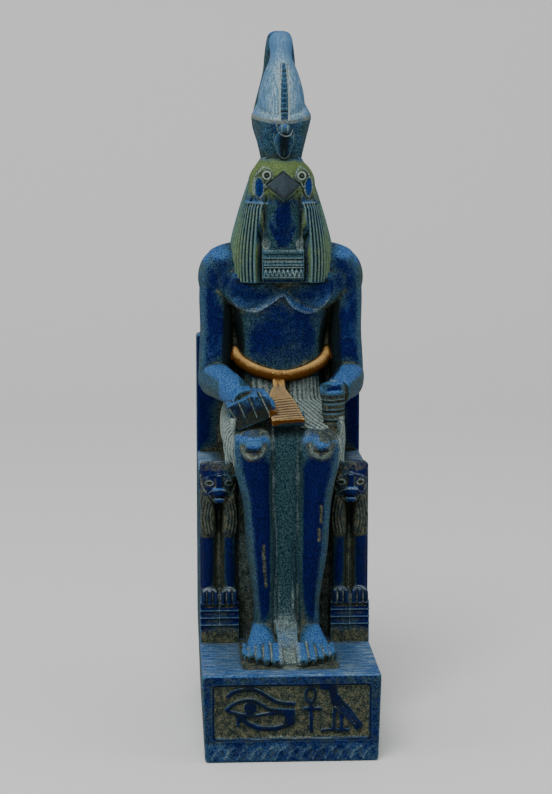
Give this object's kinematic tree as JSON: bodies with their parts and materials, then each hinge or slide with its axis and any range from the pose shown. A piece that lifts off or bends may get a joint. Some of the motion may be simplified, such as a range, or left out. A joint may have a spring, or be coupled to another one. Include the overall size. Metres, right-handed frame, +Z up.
{
  "type": "horus statue",
  "caption": "Seated falcon-headed figure in a double crown on a lion throne, cast in one with its plinth, for a shelf or a table.",
  "frame": {"origin": "centre of the plinth's underside", "axes": "+Z up to the crown's top, -Y the way the figure faces, +X the viewer's right from the front"},
  "size_m": [0.074, 0.116, 0.2999],
  "materials": {
    "patinated_cast": "cast stone resin, washed in lapis blue with an olive and tan patina, a gilded belt and apron"
  },
  "bodies": {
    "root": {"horus_statue": "patinated_cast"}
  },
  "joints": []
}
